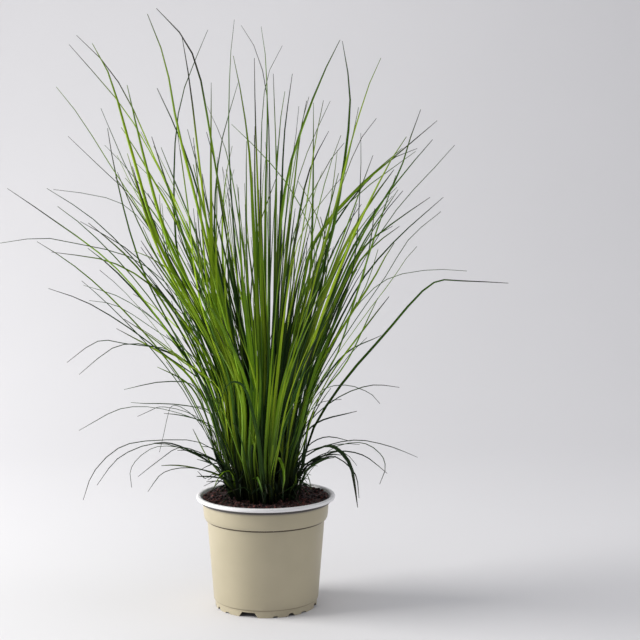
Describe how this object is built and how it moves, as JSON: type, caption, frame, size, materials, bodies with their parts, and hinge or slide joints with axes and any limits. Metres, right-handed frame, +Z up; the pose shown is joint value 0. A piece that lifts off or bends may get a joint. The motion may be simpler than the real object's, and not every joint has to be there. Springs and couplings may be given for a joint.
{
  "type": "potted ornamental grass clump",
  "caption": "Ornamental grass clump in a thin plastic nursery pot: upright to arching blades fanning out of a tight crown.",
  "frame": {"origin": "on the ground at the pot's axis, the middle of the pot's foot", "axes": "+Z up along the pot's axis, -Y the front, +X to the right seen from the front"},
  "size_m": [0.4815, 0.4425, 0.5515],
  "materials": {
    "pot_plastic": "satin",
    "potting_mix": "matte",
    "grass_blade": "satin"
  },
  "bodies": {
    "root": {"pot": "pot_plastic", "potting_mix": "potting_mix", "tiller_01": "grass_blade", "tiller_02": "grass_blade", "tiller_03": "grass_blade", "tiller_04": "grass_blade", "tiller_05": "grass_blade", "tiller_06": "grass_blade", "tiller_07": "grass_blade", "tiller_08": "grass_blade", "tiller_09": "grass_blade", "tiller_10": "grass_blade", "tiller_11": "grass_blade", "tiller_12": "grass_blade", "tiller_13": "grass_blade", "tiller_14": "grass_blade", "tiller_15": "grass_blade", "tiller_16": "grass_blade", "tiller_17": "grass_blade", "tiller_18": "grass_blade", "tiller_19": "grass_blade", "tiller_20": "grass_blade", "tiller_21": "grass_blade", "tiller_22": "grass_blade", "tiller_23": "grass_blade", "tiller_24": "grass_blade", "tiller_25": "grass_blade", "tiller_26": "grass_blade", "tiller_27": "grass_blade", "tiller_28": "grass_blade", "tiller_29": "grass_blade", "tiller_30": "grass_blade", "tiller_31": "grass_blade", "tiller_32": "grass_blade", "tiller_33": "grass_blade", "tiller_34": "grass_blade", "tiller_35": "grass_blade", "tiller_36": "grass_blade", "tiller_37": "grass_blade", "tiller_38": "grass_blade", "tiller_39": "grass_blade", "tiller_40": "grass_blade", "tiller_41": "grass_blade", "tiller_42": "grass_blade", "tiller_43": "grass_blade", "tiller_44": "grass_blade", "tiller_45": "grass_blade", "tiller_46": "grass_blade", "tiller_47": "grass_blade"}
  },
  "joints": []
}
